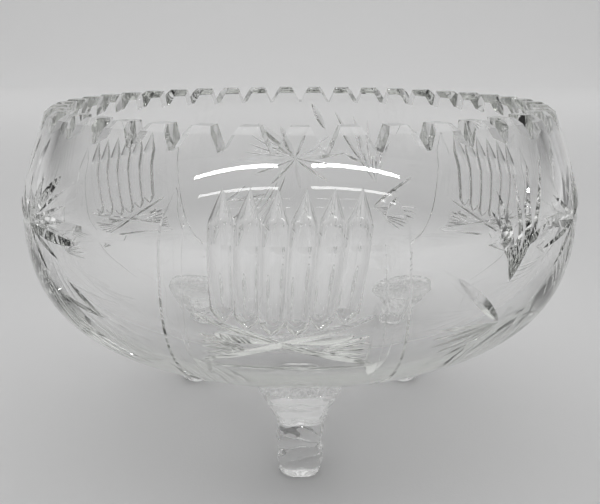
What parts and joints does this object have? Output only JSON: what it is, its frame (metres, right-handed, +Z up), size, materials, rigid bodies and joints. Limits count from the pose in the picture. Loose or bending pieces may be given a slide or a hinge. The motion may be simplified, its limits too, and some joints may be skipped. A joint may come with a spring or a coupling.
{
  "type": "footed cut-glass punch bowl",
  "caption": "Clear cut-glass bowl with a notched rim, rounded belly and fluted and star-cut panels, standing on applied glass feet.",
  "frame": {"origin": "on the bowl's axis, at the level of the flats under the feet", "axes": "+Z up along the bowl's axis, -Y towards the front foot, +X to the right seen from the front"},
  "size_m": [0.254, 0.254, 0.155],
  "materials": {
    "bowl_glass": "clear lead glass, wheel cut and polished",
    "wafer_glass": "clear glass, fire polished, with a rough fused edge",
    "foot_glass": "clear glass, tooled hot and fire polished"
  },
  "bodies": {
    "root": {"bowl": "bowl_glass", "wafer_front": "wafer_glass", "wafer_left": "wafer_glass", "wafer_right": "wafer_glass", "foot_front": "foot_glass", "foot_left": "foot_glass", "foot_right": "foot_glass"}
  },
  "joints": []
}
